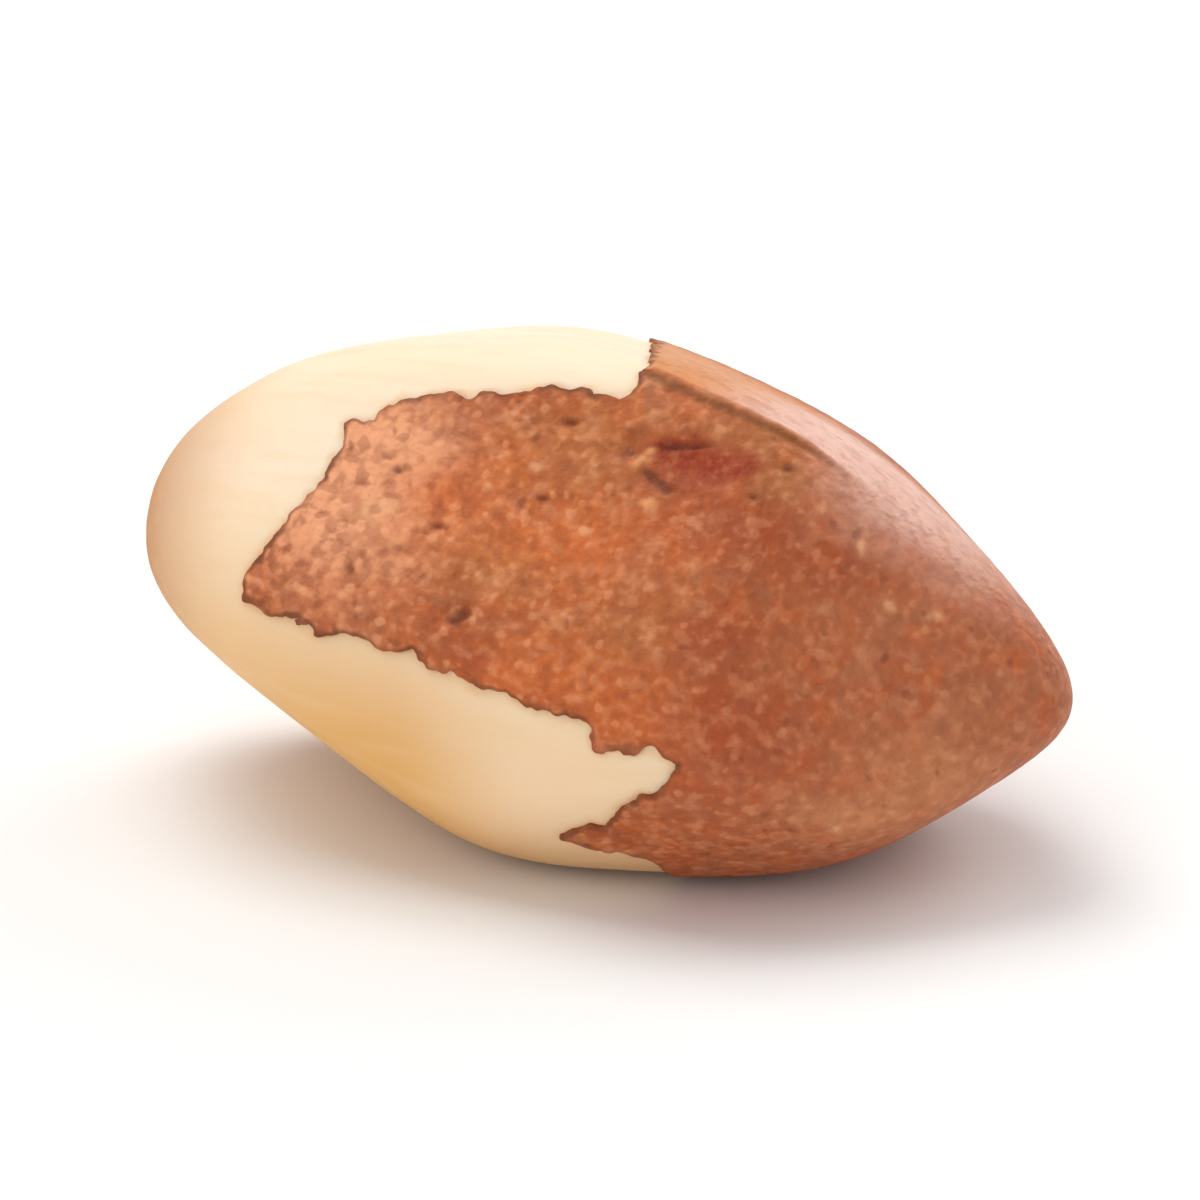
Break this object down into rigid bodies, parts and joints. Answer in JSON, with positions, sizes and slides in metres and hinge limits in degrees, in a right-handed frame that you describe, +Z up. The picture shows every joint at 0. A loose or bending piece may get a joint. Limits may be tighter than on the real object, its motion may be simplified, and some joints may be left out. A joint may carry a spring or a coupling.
{
  "type": "brazil nut",
  "caption": "Shelled brazil nut kernel on its side, a cream kernel with a torn patch of reddish-brown skin round its right half.",
  "frame": {"origin": "bottom centre of the bounding box, on the surface that the nut lies on", "axes": "+X along the kernel toward the end that its skin covers, -Y toward the side with the long torn edge, +Z up"},
  "size_m": [0.0332, 0.0196, 0.0171],
  "materials": {
    "nut": "satin"
  },
  "bodies": {
    "root": {"kernel": "nut"}
  },
  "joints": []
}
